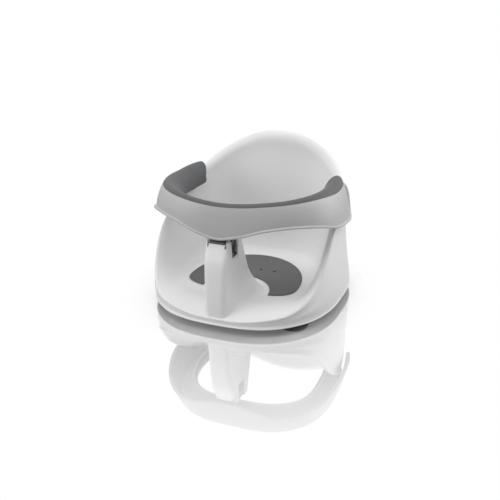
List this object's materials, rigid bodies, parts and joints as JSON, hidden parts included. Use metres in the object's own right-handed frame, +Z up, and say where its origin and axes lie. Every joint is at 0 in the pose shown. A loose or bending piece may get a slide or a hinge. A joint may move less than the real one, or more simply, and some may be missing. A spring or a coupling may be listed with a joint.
{
  "type": "baby bath ring",
  "caption": "Bucket-shaped bath seat on suction cups, with a crotch post and a padded horseshoe safety bar that clicks onto the post and lifts off.",
  "frame": {"origin": "on the floor, below the middle of the base", "axes": "+Z up, front (post side) towards -Y, +X across, to the right as seen from the front"},
  "size_m": [0.3462, 0.332, 0.2602],
  "materials": {
    "shell": "light grey moulded plastic with a satin gloss",
    "band": "mid grey moulded plastic, fine satin",
    "bumper": "soft dark grey elastomer, matt",
    "pad": "soft dark grey elastomer sheet, matt",
    "cup": "dark grey elastomer, smooth",
    "inner": "light grey moulded plastic",
    "steel": "plain stainless steel"
  },
  "bodies": {
    "base": {"seat_shell": "shell", "seat_pad": "pad", "suction_cup_front_left": "cup", "suction_cup_front_right": "cup", "suction_cup_rear_left": "cup", "suction_cup_rear_right": "cup", "latch_block": "inner", "block_screw_1": "steel", "block_screw_2": "steel", "release_spring_left": "steel", "release_spring_right": "steel"},
    "bar": {"bar_outer_band": "band", "bar_inner_frame": "band", "bar_bumper": "bumper", "latch_fork": "bumper", "tongue_screw_left": "steel", "tongue_screw_right": "steel", "band_screw_1": "steel", "band_screw_2": "steel", "band_screw_3": "steel", "band_screw_4": "steel"},
    "button_left": {"release_button_left": "bumper"},
    "button_right": {"release_button_right": "bumper"}
  },
  "joints": [
    {"name": "bar_lift", "type": "slide", "parent": "base", "child": "bar", "axis": [0, 0, 1], "range_m": [0, 0.1]},
    {"name": "press_left", "type": "slide", "parent": "base", "child": "button_left", "axis": [1, 0, 0], "range_m": [0, 0.0065], "stiffness_N_per_m": 400, "springref_m": -0.003, "deforming": ["release_spring_left"]},
    {"name": "press_right", "type": "slide", "parent": "base", "child": "button_right", "axis": [-1, 0, 0], "range_m": [0, 0.0065], "stiffness_N_per_m": 400, "springref_m": -0.003, "deforming": ["release_spring_right"]}
  ]
}
